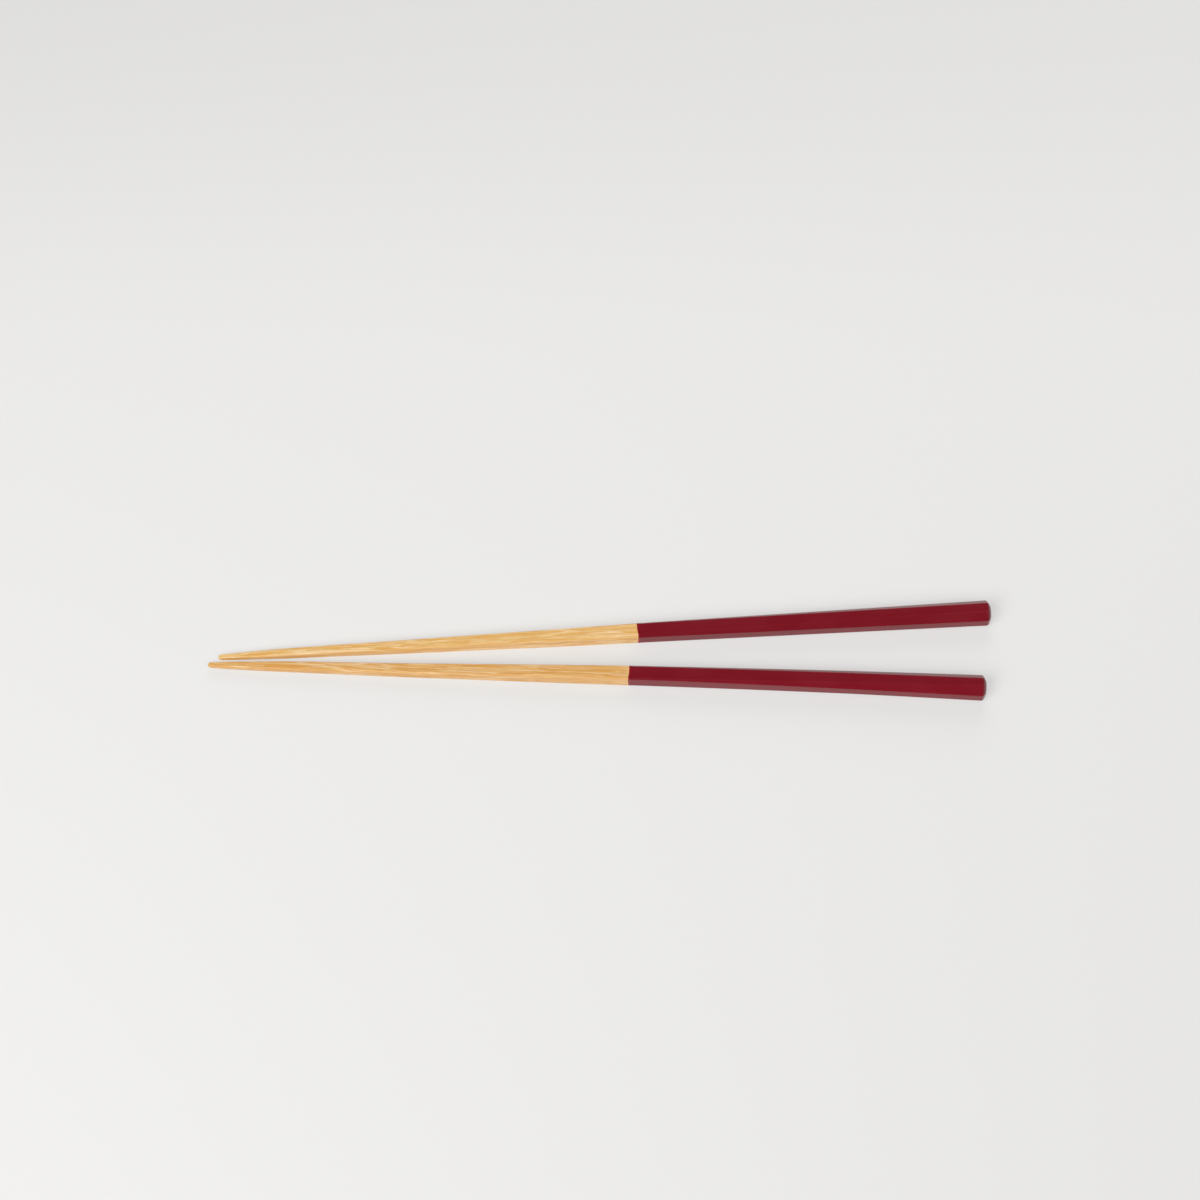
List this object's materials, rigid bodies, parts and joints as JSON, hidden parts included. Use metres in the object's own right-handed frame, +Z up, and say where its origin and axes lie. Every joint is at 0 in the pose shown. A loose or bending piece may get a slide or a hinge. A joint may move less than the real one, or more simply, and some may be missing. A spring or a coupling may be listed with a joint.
{
  "type": "pair of bamboo chopsticks",
  "caption": "Tapered bamboo chopsticks, square at the fine eating tips and eight-sided at the glossy dark red lacquered handles, lying side by side in a narrow V.",
  "frame": {"origin": "on the surface that the pair lies on, under the middle of its bounding box", "axes": "+X from the eating tips to the lacquered butts, along the line that halves the V; +Y from the front stick to the back stick; +Z up from the surface"},
  "size_m": [0.2329, 0.032, 0.0069],
  "materials": {
    "bamboo": "sanded solid bamboo with long orange-brown fibre flecks, lightly oiled satin",
    "red_lacquer": "smooth dark red lacquer, semi-gloss"
  },
  "bodies": {
    "root": {"chopstick_back": "bamboo", "chopstick_front": "bamboo", "handle_lacquer_back": "red_lacquer", "handle_lacquer_front": "red_lacquer"}
  },
  "joints": []
}
